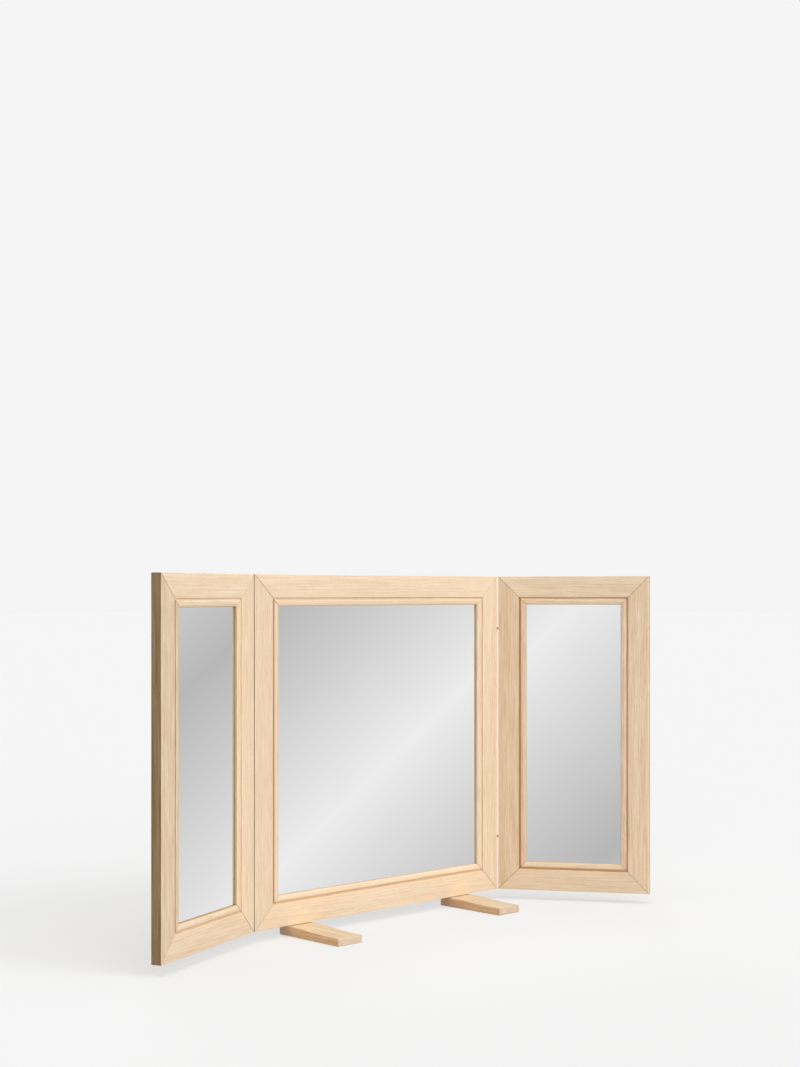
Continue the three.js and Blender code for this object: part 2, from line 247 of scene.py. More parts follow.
def buildWoodFigure(s):
    # timber is a place in the log: x and y from its heart, z along the grain, in metres
    tree, given, result = newGroup("woodFigure", "ShaderNodeTree", {
        "Timber": "Vector", "Pale": "Color", "Dark": "Color", "Contrast": "Float",
        "Ring Spacing": "Float", "Ring Strength": "Float", "Fibre Strength": "Float",
        "Pore Strength": "Float", "Mottle Strength": "Float",
    }, finishOutputs)
    timber = given["Timber"]

    wander = addNoise(tree, timber, s["wanderStretch"], detail=1.0)
    sway = addNoise(tree, timber, s["swayStretch"], detail=1.0)
    x, y, _ = splitVector(tree, timber)
    squares = sumUp(tree, multiply(tree, y, y), (x, x))
    radius = sumUp(tree, addMath(tree, "SQRT", squares), (wander, s["wander"]), (sway, s["sway"]))
    years = addMath(tree, "DIVIDE", radius, given["Ring Spacing"])

    seasons = multiply(tree, years, s["seasonRate"])
    season = addNode(tree, "ShaderNodeTexNoise", {"W": seasons, "Scale": 1.0, "Detail": 2.0},
                     {"noise_dimensions": "1D"})
    seasonTone = addRange(tree, season.outputs["Fac"], *s["seasonRange"])
    earlyWood = addBand(tree, addMath(tree, "FRACT", years), s["earlyWoodStart"], s["earlyWoodEnd"])
    ring = multiply(tree, seasonTone, 1 - s["earlyWoodShare"])
    ring = sumUp(tree, ring, (earlyWood, s["earlyWoodShare"]))

    fibre = noiseTone(tree, timber, s, "fibre", detail=4.0, roughness=0.68)
    poreRoom = sumUp(tree, s["lateWoodPores"], (earlyWood, 1 - s["lateWoodPores"]))
    pore = multiply(tree, noiseTone(tree, timber, s, "pore", detail=1.0), poreRoom)
    mottle = noiseTone(tree, timber, s, "mottle")

    ringStrength, fibreStrength = given["Ring Strength"], given["Fibre Strength"]
    streaks = multiply(tree, addMath(tree, "SUBTRACT", ring, 0.5), ringStrength)
    streaks = sumUp(tree, streaks, (addMath(tree, "SUBTRACT", fibre, 0.5), fibreStrength))
    middle = multiply(tree, 0.5, addMath(tree, "ADD", ringStrength, fibreStrength))
    depth = sumUp(tree, middle, (streaks, given["Contrast"]), (mottle, given["Mottle Strength"]),
                  (pore, given["Pore Strength"]))
    depth = addNode(tree, "ShaderNodeClamp", {"Value": depth}).outputs[0]
    color = addMix(tree, depth, given["Pale"], given["Dark"])
    rough = sumUp(tree, s["roughness"], (ring, s["ringRoughness"]), (pore, s["poreRoughness"]))
    height = sumUp(tree, 1.0, (pore, -1.0), (earlyWood, -s["earlyWoodHollow"]), (fibre, -s["fibreHollow"]))
    return endFinish(tree, result, color, rough, height)


handledMetalSettings = {
    "cloudStretch": (260, 260, 260),
    "cloudRange": (0.35, 0.7),
    "cloudRoughness": 0.15,
    "speckStretch": (2400, 2400, 2400),
    "speckRange": (0.6, 0.72),
    "speckStain": 0.6,
    "speckDepth": 0.7,  # against the depth of a scratch
    "scratchStretch": (500, 4200, 4200),
    "scratchRange": (0.62, 0.7),
    "scratchRoughness": 0.15,
}


def buildHandledMetal(s):
    # cast and drawn metal: cloudy tarnish, fine specks and short scratches
    tree, given, result = newGroup("handledMetal", "ShaderNodeTree", {
        "Place": "Vector", "Bright": "Color", "Tarnish": "Color", "Tarnish Amount": "Float",
        "Polish": "Float",
    }, finishOutputs)
    cloud, speck, scratch = [noiseTone(tree, given["Place"], s, mark, detail)
                             for mark, detail in (("cloud", 3.0), ("speck", 1.0), ("scratch", 1.0))]
    share = multiply(tree, sumUp(tree, cloud, (speck, s["speckStain"])), given["Tarnish Amount"])
    color = addMix(tree, share, given["Bright"], given["Tarnish"])
    rough = sumUp(tree, given["Polish"], (cloud, s["cloudRoughness"]), (scratch, s["scratchRoughness"]))
    height = sumUp(tree, multiply(tree, speck, -s["speckDepth"]), (scratch, -1.0))
    return endFinish(tree, result, color, rough, height)


woodFigure = buildWoodFigure(woodFigureSettings)
handledMetal = buildHandledMetal(handledMetalSettings)
print("shader groups built")


# Materials

def placeFigure(tree, timber, s, contrast=1.0):
    return placeGroup(tree, woodFigure, {"Timber": timber, "Contrast": contrast, **s["figure"]})


frameOakSettings = {  # spans are metres across a member from its outer edge, or back from its face
    "figure": {
        "Pale": (0.95, 0.772, 0.575, 1), "Dark": (0.70, 0.467, 0.26, 1), "Ring Spacing": 0.0042,
        "Ring Strength": 0.20, "Fibre Strength": 0.36, "Pore Strength": 0.30, "Mottle Strength": 0.10,
    },
    "warmTint": (1.0, 0.955, 0.91, 1),
    # a painted shade that darkens the groove, set per member
    "grooveStain": (0.62, 0.39, 0.18, 1),
    "grooveStart": (0.0392, 0.0398),
    "grooveEnd": (0.0428, 0.0446),
    "grooveDepth": (0.0002, 0.0016),
    # a painted highlight, and wear, along the arrises of the face
    "arrisWear": (1.06, 1.07, 1.08, 1),
    "outerArris": (0.0006, 0.0016),
    "innerArrisStart": (0.0380, 0.0388),
    "innerArrisEnd": (0.0394, 0.0398),
    "faceDepth": (0.0004, 0.0010),
    "mitreStain": (0.50, 0.35, 0.22, 1),
    "mitreLine": (0.0002, 0.0011),  # from the mitre, fully stained to clean
    # painted shade on the outer edges, and the mottle in it
    "sideStain": (0.322, 0.252, 0.130, 1),
    "sideEdge": (0.00004, 0.0002),
    "sideDepth": (0.0001, 0.0003),
    "takeUpStretch": (240, 240, 6),
    "takeUpRange": (0.36, 0.64, 0.80, 1.0),
    # painted shade on the wall in front of the glass
    "wallStain": (0.72, 0.65, 0.45, 1),
    "wallStart": (0.0528, 0.0535),
    "wallDepth": (0.0014, 0.0026),
    "grain": 0.00009,
}


def buildFrameOak(s):
    material, tree = newMaterial("frameOak")
    timber = readAttribute(tree, "timber")
    across, depth, _ = readParts(tree, "section")
    firstMitre, lastMitre, _ = readParts(tree, "mitres")
    firstMark, lastMark, _ = readParts(tree, "marks")
    # amounts of painted shade: on the outer edge, in the groove and on the wall
    sideShadeMark, grooveShadeMark, wallMark = readParts(tree, "stains")
    tone, warmth, contrast = readParts(tree, "looks")
    figure = placeFigure(tree, timber, s, contrast)
    toned = addNode(tree, "ShaderNodeCombineColor", {"Red": tone, "Green": tone, "Blue": tone}).outputs[0]
    color = multiplyTint(tree, figure["Color"], toned, 1.0)
    color = multiplyTint(tree, color, s["warmTint"], warmth)

    # darker in the groove: painted shade, set per member by how the light falls into it
    inGroove = addBand(tree, across, s["grooveStart"], s["grooveEnd"])
    belowFace = addRange(tree, depth, *s["grooveDepth"])
    color = multiplyTint(tree, color, s["grooveStain"], inGroove, belowFace, grooveShadeMark)

    # lighter along the arrises of the face: a painted highlight, and wear
    outerArris = addFall(tree, across, s["outerArris"])
    innerArris = addBand(tree, across, s["innerArrisStart"], s["innerArrisEnd"])
    highlightAndWear = addMath(tree, "MAXIMUM", outerArris, innerArris)
    color = multiplyTint(tree, color, s["arrisWear"], highlightAndWear, addFall(tree, depth, s["faceDepth"]))

    # a fine line along each mitre
    for distance, mark in ((firstMitre, firstMark), (lastMitre, lastMark)):
        color = multiplyTint(tree, color, s["mitreStain"], addFall(tree, distance, s["mitreLine"]), mark)

    # painted shade: darker on the outer edges, with a mottle, and on the wall in front of the glass
    onSide = multiply(tree, addFall(tree, across, s["sideEdge"]), addRange(tree, depth, *s["sideDepth"]))
    takeUp = noiseTone(tree, timber, s, "takeUp", detail=4.0, roughness=0.65)
    color = multiplyTint(tree, color, s["sideStain"], onSide, multiply(tree, sideShadeMark, takeUp))
    # painted shade on the wall in front of the glass
    onWall = multiply(tree, addRange(tree, across, *s["wallStart"]), addRange(tree, depth, *s["wallDepth"]))
    color = multiplyTint(tree, color, s["wallStain"], onWall, wallMark)
    return endMaterial(material, color, figure["Roughness"], figure["Height"], s["grain"])


footOakSettings = {
    "figure": {
        "Pale": (0.87, 0.715, 0.50, 1), "Dark": (0.58, 0.36, 0.19, 1), "Ring Spacing": 0.0042,
        "Ring Strength": 0.24, "Fibre Strength": 0.28, "Pore Strength": 0.34, "Mottle Strength": 0.12,
    },
    "endTint": (0.96, 0.94, 1.02, 1),  # sawn end grain, rosier than the long grain
    "endRange": (0.8, 0.97),  # of how far a face looks towards an end
    # a painted shade, darker and warmer, on the sides of a foot
    "sideTint": (1.04, 0.89, 0.75, 1),
    "sideRange": (0.5, 0.9),
    "sideStreak": (0.88, 0.70, 0.56, 1),  # redder streaks along the sides
    "streakStretch": (420, 420, 9),
    "streakRange": (0.48, 0.66),
    "grain": 0.00014,
}


def buildFootOak(s):
    material, tree = newMaterial("footOak")
    timber = readAttribute(tree, "timber")
    figure = placeFigure(tree, timber, s)
    sideways, endways, _ = readParts(tree, "facing")
    color = multiplyTint(tree, figure["Color"], s["endTint"], addRange(tree, endways, *s["endRange"]))
    # the sides get darker and warmer: painted shade
    onSide = addRange(tree, sideways, *s["sideRange"])
    color = multiplyTint(tree, color, s["sideTint"], onSide)
    streak = noiseTone(tree, timber, s, "streak", detail=3.0, roughness=0.6)
    color = multiplyTint(tree, color, s["sideStreak"], streak, onSide)
    return endMaterial(material, color, figure["Roughness"], figure["Height"], s["grain"])


mirrorSettings = {
    "silver": (0.934, 0.934, 0.933, 1),
    "hazed": (0.922, 0.922, 0.921, 1),
    "polish": 0.004,
    "haze": 0.012,
    "hazeStretch": (5, 5, 4),
    "hazeRange": (0.35, 0.75),
}


def buildMirrorSilver(s):
    material, tree = newMaterial("mirrorSilver")
    haze = noiseTone(tree, readPlace(tree), s, "haze", detail=3.0)
    color = addMix(tree, haze, s["silver"], s["hazed"])
    return endMaterial(material, color, sumUp(tree, s["polish"], (haze, s["haze"])), metallic=1.0)


linerSettings = {
    "pale": (0.42, 0.35, 0.26, 1),
    "dark": (0.24, 0.19, 0.14, 1),
    "cloudStretch": (70, 70, 90),
    "cloudRange": (0.3, 0.7),
    "strandStretch": (1500, 1500, 420),
    "strandRange": (0.35, 0.7),
    "strandShare": 0.4,
    "roughness": 0.85,
    "strandRoughness": 0.1,
    "strandDepth": 0.00008,
}


def buildLinerPaper(s):
    material, tree = newMaterial("linerPaper")
    place = readPlace(tree)
    strand = addNoise(tree, place, s["strandStretch"])
    tone = multiply(tree, noiseTone(tree, place, s, "cloud", detail=4.0), 1 - s["strandShare"])
    tone = sumUp(tree, tone, (addRange(tree, strand, *s["strandRange"]), s["strandShare"]))
    color = addMix(tree, tone, s["pale"], s["dark"])
    rough = sumUp(tree, s["roughness"], (strand, s["strandRoughness"]))
    return endMaterial(material, color, rough, strand, s["strandDepth"])


backBoardSettings = {
    "figure": {
        "Pale": (0.86, 0.70, 0.49, 1), "Dark": (0.60, 0.42, 0.26, 1), "Ring Spacing": 0.013,
        "Ring Strength": 0.34, "Fibre Strength": 0.22, "Pore Strength": 0.18, "Mottle Strength": 0.22,
    },
    "heart": (0.35, 0.16, 0.0),  # from the object's origin to the heart of the peeled log
    "addedRoughness": 0.15,
    "grain": 0.00010,
}


def buildBackBoard(s):
    material, tree = newMaterial("backBoardPly")
    timber = addNode(tree, "ShaderNodeMapping", {"Vector": readPlace(tree), "Location": s["heart"]})
    figure = placeFigure(tree, timber.outputs["Vector"], s)
    rough = addMath(tree, "ADD", figure["Roughness"], s["addedRoughness"])
    return endMaterial(material, figure["Color"], rough, figure["Height"], s["grain"])


metalSettings = {
    "hingeBrass": {
        "Bright": (0.34, 0.22, 0.11, 1), "Tarnish": (0.09, 0.055, 0.03, 1),
        "Tarnish Amount": 0.85, "Polish": 0.32,
    },
    "screwSteel": {
        "Bright": (0.62, 0.60, 0.56, 1), "Tarnish": (0.34, 0.32, 0.29, 1),
        "Tarnish Amount": 0.6, "Polish": 0.26,
    },
}
scratchDepth = 0.00003


def buildMetal(name):
    material, tree = newMaterial(name)
    finish = placeGroup(tree, handledMetal, {"Place": readPlace(tree), **metalSettings[name]})
    return endMaterial(material, finish["Color"], finish["Roughness"], finish["Height"], scratchDepth, 1.0)


frameOak = buildFrameOak(frameOakSettings)
footOak = buildFootOak(footOakSettings)
mirrorSilver = buildMirrorSilver(mirrorSettings)
linerPaper = buildLinerPaper(linerSettings)
backBoardPly = buildBackBoard(backBoardSettings)
hingeBrass = buildMetal("hingeBrass")
screwSteel = buildMetal("screwSteel")
print("materials built")


# Mesh helpers: parts of a form are added to one bmesh, in metres

def addBox(form, low, high):
    middle = (Vector(low) + Vector(high)) / 2
    size = Vector(high) - Vector(low)
    place = Matrix.Translation(middle) @ Matrix.Diagonal((*size, 1))
    bmesh.ops.create_cube(form, size=1, matrix=place)


def addTurned(form, profile, sides, place):  # (radius, height) points turned about the local z axis
    rings = []
    for radius, height in profile:
        count = sides if radius else 1
        angles = [2 * pi * i / count for i in range(count)]
        rings.append([form.verts.new(place @ Vector((radius * cos(a), radius * sin(a), height)))
                      for a in angles])
    for lower, upper in zip(rings, rings[1:]):
        for i in range(sides):
            corners = [lower[i % len(lower)], lower[(i + 1) % len(lower)],
                       upper[(i + 1) % len(upper)], upper[i % len(upper)]]
            form.faces.new(list(dict.fromkeys(corners)))


def addRod(form, radius, length, sides, place):
    addTurned(form, [(0, 0), (radius, 0), (radius, length), (0, length)], sides, place)


def newPiece(name, form):  # an object from a bmesh, with its faces turned outwards
    bmesh.ops.recalc_face_normals(form, faces=form.faces[:])
    mesh = bpy.data.meshes.new(name)
    form.to_mesh(mesh)
    form.free()
    return addObject(name, mesh)


def addBoolean(piece, operation, form):  # form is a bmesh; the tool goes once the piece is plain
    tool = newPiece(piece.name + operation.title(), form)
    tool.hide_render = True
    modifier = piece.modifiers.new(operation.title(), "BOOLEAN")
    modifier.operation = operation
    modifier.object = tool
    modifier.solver = "EXACT"
    return tool


def runTree(piece, tree, values):  # values by the name of the tree's input
    modifier = piece.modifiers.new(tree.name, "NODES")
    modifier.node_group = tree
    for item in tree.interface.items_tree:
        if item.item_type == "SOCKET" and item.in_out == "INPUT" and item.name in values:
            modifier[item.identifier] = values[item.name]


# The evaluated shape becomes the mesh, and modifiers and tools go
def makePlain(piece, tools, smoothBelow=None, material=None):
    bpy.context.view_layer.update()
    graph = bpy.context.evaluated_depsgraph_get()
    mesh = bpy.data.meshes.new_from_object(piece.evaluated_get(graph), depsgraph=graph)
    piece.modifiers.clear()
    piece.data = mesh
    for tool in tools:
        bpy.data.objects.remove(tool)
    if material:
        mesh.materials.clear()
        mesh.materials.append(material)
    if smoothBelow:
        mesh.shade_smooth()
        mesh.set_sharp_from_angle(angle=radians(smoothBelow))
    return mesh


def storeVectors(mesh, name, vectors, domain="POINT"):
    attribute = mesh.attributes.new(name, "FLOAT_VECTOR", domain)
    attribute.data.foreach_set("vector", [part for vector in vectors for part in vector])


def settle(piece, body, nodes):
    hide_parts(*nodes)
    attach(piece, body)


def arcPoints(centre, radii, startDegrees, sweepDegrees, steps):
    points = []
    for i in range(steps + 1):
        angle = radians(startDegrees + sweepDegrees * i / steps)
        points.append((centre[0] + radii[0] * cos(angle), centre[1] + radii[1] * sin(angle)))
    return points


# Panels: each has its own upright frame, x across, y from its front to its back, z up

panelSettings = {  # mitre marks go round by the top from the low left corner
    "centre": {
        "stiles": ("left", "right"), "mitreMarks": (0.5, 1.0, 0.2, 0.9), "wallMark": 0.3,
        "looks": {  # tone, warmth, contrast, painted shade in the groove and painted shade on the outer edge
            "top": (1.01, 0, 0.65, 0.14, 0.45), "bottom": (1.03, 0.2, 0.75, 0.46, 0.45),
            "left": (0.95, 0, 0.9, 0.84, 0.45), "right": (0.975, 0, 1.0, 0.12, 0.45),
        },
    },
    "left_wing": {
        "stiles": ("outer", "inner"), "mitreMarks": (0.2, 1.0, 0.15, 1.0), "wallMark": 1.0,
        "looks": {
            "top": (1.04, 0, 0.9, 0.05, 0.45), "bottom": (1.03, 0.1, 0.9, 0.32, 0.45),
            "left": (0.90, 0.45, 1.6, 0.75, 1.0), "right": (1.04, 0, 1.1, 0.20, 0.45),
        },
    },
    "right_wing": {
        "stiles": ("inner", "outer"), "mitreMarks": (0.8, 0.8, 0.7, 0.8), "wallMark": 0.8,
        "looks": {
            "top": (1.05, 0, 1.1, 0.50, 0.45), "bottom": (1.04, 0.35, 0.8, 0.80, 0.45),
            "left": (0.95, 1.0, 1.2, 0.92, 0.45), "right": (1.01, 0.6, 1.5, 0.64, 0.45),
        },
    },
}


def boxIn(place, nodes):  # low and high corners of CAD nodes, measured in the frame of place
    flatten = place.inverted()
    points = [flatten @ vertex.co for node in nodes for vertex in frame["nodes"][node].data.vertices]
    return [Vector([pick(point[i] for point in points) for i in range(3)]) for pick in (min, max)]


def foldTurn(fold):  # from all flat, where a wing's joint is at its lowest, to rest
    return -radians(fold["range_deg"][0]) * fold["axis"][2]


def measurePanel(name, panel):  # its members' nodes, its body, its size and its low front left corner
    fold = jointNamed.get(name + "_fold")
    turn = Matrix.Rotation(foldTurn(fold), 4, "Z") if fold else Matrix.Identity(4)
    parts = ["top_rail", "bottom_rail"] + [stile + "_stile" for stile in panel["stiles"]]
    nodes = [f"{name}_{part}" for part in parts]
    low, high = boxIn(turn, nodes)
    panel["nodes"] = dict(zip(("top", "bottom", "left", "right"), nodes))
    panel["body"] = name if fold else "centre_frame"
    panel["place"] = turn @ Matrix.Translation(low)
    panel["width"] = high.x - low.x
    panel["height"] = high.z - low.z


for panelName, panel in panelSettings.items():
    measurePanel(panelName, panel)
print("panels measured")


# Frame members: one moulded section, swept and mitred at both ends

memberSettings = {
    "faceWidth": 0.0395,
    "quirkWidth": 0.0035,
    "quirkDepth": 0.0024,
    "quirkArris": 0.0005,
    "quirkFillet": 0.0004,
    "beadWidth": 0.011,
    "crestInset": 0.003,
    "crestDepth": 0.0003,
    "beadEnd": 0.0032,
    "sheetGap": 0.0003,  # between a seat and the sheet that lies on it
    "glassRebate": 0.008,
    "boardRebate": 0.016,
    "arris": 0.0005,
    "arcSteps": 7,
    "beadSteps": 14,
    "mitreGap": 0.0001,
    "smoothBelow": 40,  # degrees between faces that shade as one
    "tenonThickness": 0.005,
    "tenonWidth": 0.020,
    "tenonStart": 0.014,
    "tenonSetback": 0.010,
    "mortiseGap": 0.0003,
    "boreRadius": 0.0063,
    "boreLength": 0.0176,
    "boreSides": 48,
    "cutOverrun": 0.001,
    "stileHeart": (0.150, 0.105),  # from a member's front outer corner to the heart of its log
    "railHeart": (0.120, 0.085),
    "heartSpread": (0.030, 0.014),
    "logReach": 3,  # metres of log that the members come from, either way of its middle
    "seed": 11,
}

sidesAround = ("left", "top", "right", "bottom")  # each runs from one mitre mark to the next


def readDepths(s):  # the section's depths that follow the thickness, the glass and the board
    low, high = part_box("centre_top_rail")
    s["thickness"] = high.y - low.y
    s["lipSeat"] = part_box("centre_mirror_glass")[0].y - low.y - s["sheetGap"]
    s["boardSeat"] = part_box("centre_back_board")[0].y - low.y - s["sheetGap"]


def memberOutline(s):  # (across, depth) points: across from the outer edge, depth from the front face
    face, quirkDepth, crestDepth, thickness = [
        s[name] for name in ("faceWidth", "quirkDepth", "crestDepth", "thickness")]
    arris, quirkArris, fillet, steps = s["arris"], s["quirkArris"], s["quirkFillet"], s["arcSteps"]
    quirkEnd = face + s["quirkWidth"]
    crest = quirkEnd + s["crestInset"]
    sightEdge = quirkEnd + s["beadWidth"]
    points = arcPoints((arris, arris), (arris, arris), 180, 90, steps)
    points += arcPoints((face - quirkArris, quirkArris), (quirkArris, quirkArris), 270, 90, steps)
    points += arcPoints((face + fillet, quirkDepth - fillet), (fillet, fillet), 180, -90, steps)
    points += arcPoints((crest, quirkDepth), (s["crestInset"], quirkDepth - crestDepth), 180, 90, steps)
    points += arcPoints((crest, s["beadEnd"]), (sightEdge - crest, s["beadEnd"] - crestDepth),
                        270, 90, s["beadSteps"])[1:]
    points += [
        (sightEdge, s["lipSeat"]),
        (sightEdge - s["glassRebate"], s["lipSeat"]),
        (sightEdge - s["glassRebate"], s["boardSeat"]),
        (sightEdge - s["boardRebate"], s["boardSeat"]),
        (sightEdge - s["boardRebate"], thickness),
    ]
    return points + arcPoints((arris, thickness - arris), (arris, arris), 90, 90, steps)


def buildMitredMember():
    tree, given, result = newGroup("mitredMember", "GeometryNodeTree", {
        "Geometry": "Geometry", "Length": "Float", "Mitre Gap": "Float", "Material": "Material",
    }, {"Geometry": "Geometry"})
    section = addNode(tree, "GeometryNodeMeshToCurve", {"Mesh": given["Geometry"]})
    farEnd = addNode(tree, "ShaderNodeCombineXYZ", {"Z": given["Length"]})
    path = addNode(tree, "GeometryNodeCurvePrimitiveLine", {"End": farEnd.outputs[0]})
    sweep = addNode(tree, "GeometryNodeCurveToMesh", {
        "Curve": path.outputs["Curve"], "Profile Curve": section.outputs["Curve"], "Fill Caps": True,
    })
    across, depth, along = splitVector(tree, addNode(tree, "GeometryNodeInputPosition").outputs[0])
    setback = sumUp(tree, across, (given["Mitre Gap"], sqrt(0.5)))
    room = sumUp(tree, given["Length"], (setback, -2.0))
    share = addMath(tree, "DIVIDE", along, given["Length"])
    along = sumUp(tree, setback, (room, share))
    mitred = addNode(tree, "ShaderNodeCombineXYZ", {"X": across, "Y": depth, "Z": along}).outputs[0]
    cut = addNode(tree, "GeometryNodeSetPosition", {"Geometry": sweep.outputs["Mesh"], "Position": mitred})
    return endTree(tree, cut.outputs["Geometry"], given["Material"], result)


def memberPlace(side, width, height):  # from (across, depth, along) to the panel's own frame
    return {
        "left": Matrix.Identity(4),
        "right": Matrix(((-1, 0, 0, width), (0, 1, 0, 0), (0, 0, -1, height), (0, 0, 0, 1))),
        "bottom": Matrix(((0, 0, -1, width), (0, 1, 0, 0), (1, 0, 0, 0), (0, 0, 0, 1))),
        "top": Matrix(((0, 0, 1, 0), (0, 1, 0, 0), (-1, 0, 0, height), (0, 0, 0, 1))),
    }[side]


def jointForms(s, length, isRail, hingeLevels):  # what is joined to a member and what is cut from it
    joined, cut = bmesh.new(), bmesh.new()
    gap = 0 if isRail else s["mortiseGap"]
    near, far = s["tenonStart"] - gap, s["tenonStart"] + s["tenonWidth"] + gap
    front = (s["thickness"] - s["tenonThickness"]) / 2 - gap
    back = s["thickness"] - front
    for fromEnd in (lambda along: along, lambda along: length - along):
        if isRail:
            ends = sorted((fromEnd(s["tenonSetback"]), fromEnd(far)))
            addBox(joined, (near, front, ends[0]), (far, back, ends[1]))
        else:
            ends = sorted((fromEnd(near), fromEnd(far)))
            addBox(cut, (s["tenonSetback"] - gap, front, ends[0]), (far, back, ends[1]))
    for level in hingeLevels:
        inward = Matrix.Translation((-s["cutOverrun"], s["thickness"] / 2, level)) @ Matrix.Rotation(
            radians(90), 4, "Y")
        addRod(cut, s["boreRadius"], s["boreLength"] + s["cutOverrun"], s["boreSides"], inward)
    return joined, cut


def addMember(node, panel, side, tree, s, draw):
    isRail = side in ("top", "bottom")
    length = panel["width"] if isRail else panel["height"]
    form = bmesh.new()
    corners = [form.verts.new((*point, 0)) for point in memberOutline(s)]
    for first, second in zip(corners, corners[1:] + corners[:1]):
        form.edges.new((first, second))
    piece = newPiece(camelName(node), form)
    runTree(piece, tree, {"Length": length, "Mitre Gap": s["mitreGap"], "Material": frameOak})

    levels = []
    if not isRail and "outer" not in node:  # a hinged stile
        cups = [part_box(cup) for cup in frame["nodes"] if cup.endswith("frame_cup")]
        heights = {round((low.z + high.z) / 2 - panel["place"].translation.z, 5) for low, high in cups}
        levels = [length - height if side == "right" else height for height in sorted(heights)]
    joined, cut = jointForms(s, length, isRail, levels)
    tools = [addBoolean(piece, operation, part)
             for operation, part in (("UNION", joined), ("DIFFERENCE", cut)) if part.verts]
    mesh = makePlain(piece, tools, s["smoothBelow"])

    heart = s["railHeart"] if isRail else s["stileHeart"]
    spread = [draw.uniform(-1, 1) for _ in range(3)]
    shift = Vector((heart[0] + spread[0] * s["heartSpread"][0], heart[1] + spread[1] * s["heartSpread"][1],
                    s["logReach"] + spread[2] * s["logReach"]))
    *looks, grooveShadeMark, sideShadeMark = panel["looks"][side]
    setback = s["mitreGap"] * sqrt(0.5)
    points = [vertex.co.copy() for vertex in mesh.vertices]
    around = sidesAround.index(side)
    firstMark, lastMark = (panel["mitreMarks"][corner % 4] for corner in (around, around + 1))
    storeVectors(mesh, "section", points)
    storeVectors(mesh, "timber", [point + shift for point in points])
    storeVectors(mesh, "mitres", [(p.z - p.x - setback, length - p.z - p.x - setback, 0) for p in points])
    storeVectors(mesh, "marks", [(firstMark, lastMark, 0)] * len(points))
    storeVectors(mesh, "looks", [looks] * len(points))
    # amounts of painted shade: outer edge, groove, wall
    storeVectors(mesh, "stains", [(sideShadeMark, grooveShadeMark, panel["wallMark"])] * len(points))
    mesh.transform(panel["place"] @ memberPlace(side, panel["width"], panel["height"]))
    settle(piece, panel["body"], [node])


def camelName(words):
    first, *others = words.split("_")
    return first + "".join(word.title() for word in others)


readDepths(memberSettings)
mitredMember = buildMitredMember()
memberDraw = random.Random(memberSettings["seed"])
for panel in panelSettings.values():
    for side, node in panel["nodes"].items():
        addMember(node, panel, side, mitredMember, memberSettings, memberDraw)
print("frame members swept")


# Feet: a flat under the frame, then an ogee down to a blunt toe

footSettings = {
    "shoulderDrop": 0.0013,
    "seatInset": 0.003,  # a shadow gap runs along the foot of the frame
    "flat": 0.024,
    "flatEase": 0.022,
    "toeEase": 0.075,
    "toeHeight": 0.013,
    "curveSteps": 28,
    "arris": 0.0012,
    "hiddenArrisShare": 0.5,  # under the frame, beside the small step
    "arrisSteps": 4,
    "smoothBelow": 35,
    "heart": (0.010, 0.060),  # from a foot's low middle across and up to the heart of its log
    "logShift": 7,  # along the log from foot to foot, against their distance
    "screwSink": 0.001,
    "headRadius": 0.0041,
    "headRim": 0.00075,
    "headCone": 0.0024,
    "shankRadius": 0.00205,
    "boreSides": 32,
    "cutOverrun": 0.001,
}


def bezierPoints(corners, steps):  # a cubic curve
    a, b, c, d = (Vector(corner) for corner in corners)
    points = []
    for i in range(steps + 1):
        t = i / steps
        u = 1 - t
        points.append(tuple(u ** 3 * a + 3 * u * u * t * b + 3 * u * t * t * c + t ** 3 * d))
    return points


